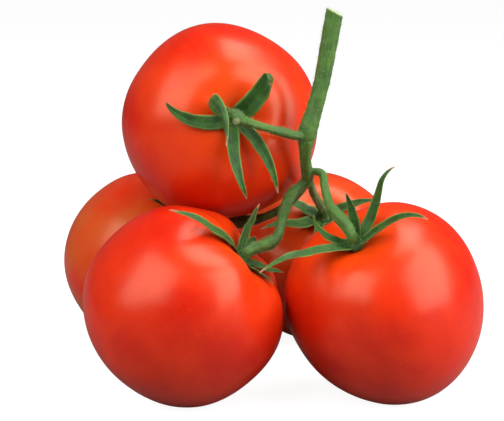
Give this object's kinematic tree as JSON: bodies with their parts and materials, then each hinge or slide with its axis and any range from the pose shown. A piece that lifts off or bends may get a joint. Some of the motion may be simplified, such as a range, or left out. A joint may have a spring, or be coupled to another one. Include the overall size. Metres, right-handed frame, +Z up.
{
  "type": "tomatoes on the vine",
  "caption": "Bunch of ripe red tomatoes joined by one cut green stem, each with its stalk and star of sepals, resting on the fruits.",
  "frame": {"origin": "middle of the bunch's footprint, on the surface that it rests on", "axes": "+Z up; -Y towards the side that shows the upper fruit's stem end; +X to the right seen from that side"},
  "size_m": [0.1545, 0.1604, 0.1387],
  "materials": {
    "tomato_skin": "smooth glossy ripe skin",
    "stem": "matt green, finely hairy",
    "calyx": "matt dark green with paler edges and dry tips"
  },
  "bodies": {
    "root": {"main_stem": "stem", "tomato_top": "tomato_skin", "calyx_top": "calyx", "stalk_top": "stem", "tomato_front_left": "tomato_skin", "calyx_front_left": "calyx", "stalk_front_left": "stem", "tomato_front_right": "tomato_skin", "calyx_front_right": "calyx", "stalk_front_right": "stem", "tomato_back_left": "tomato_skin", "calyx_back_left": "calyx", "stalk_back_left": "stem", "tomato_back_middle": "tomato_skin", "calyx_back_middle": "calyx", "stalk_back_middle": "stem"}
  },
  "joints": []
}
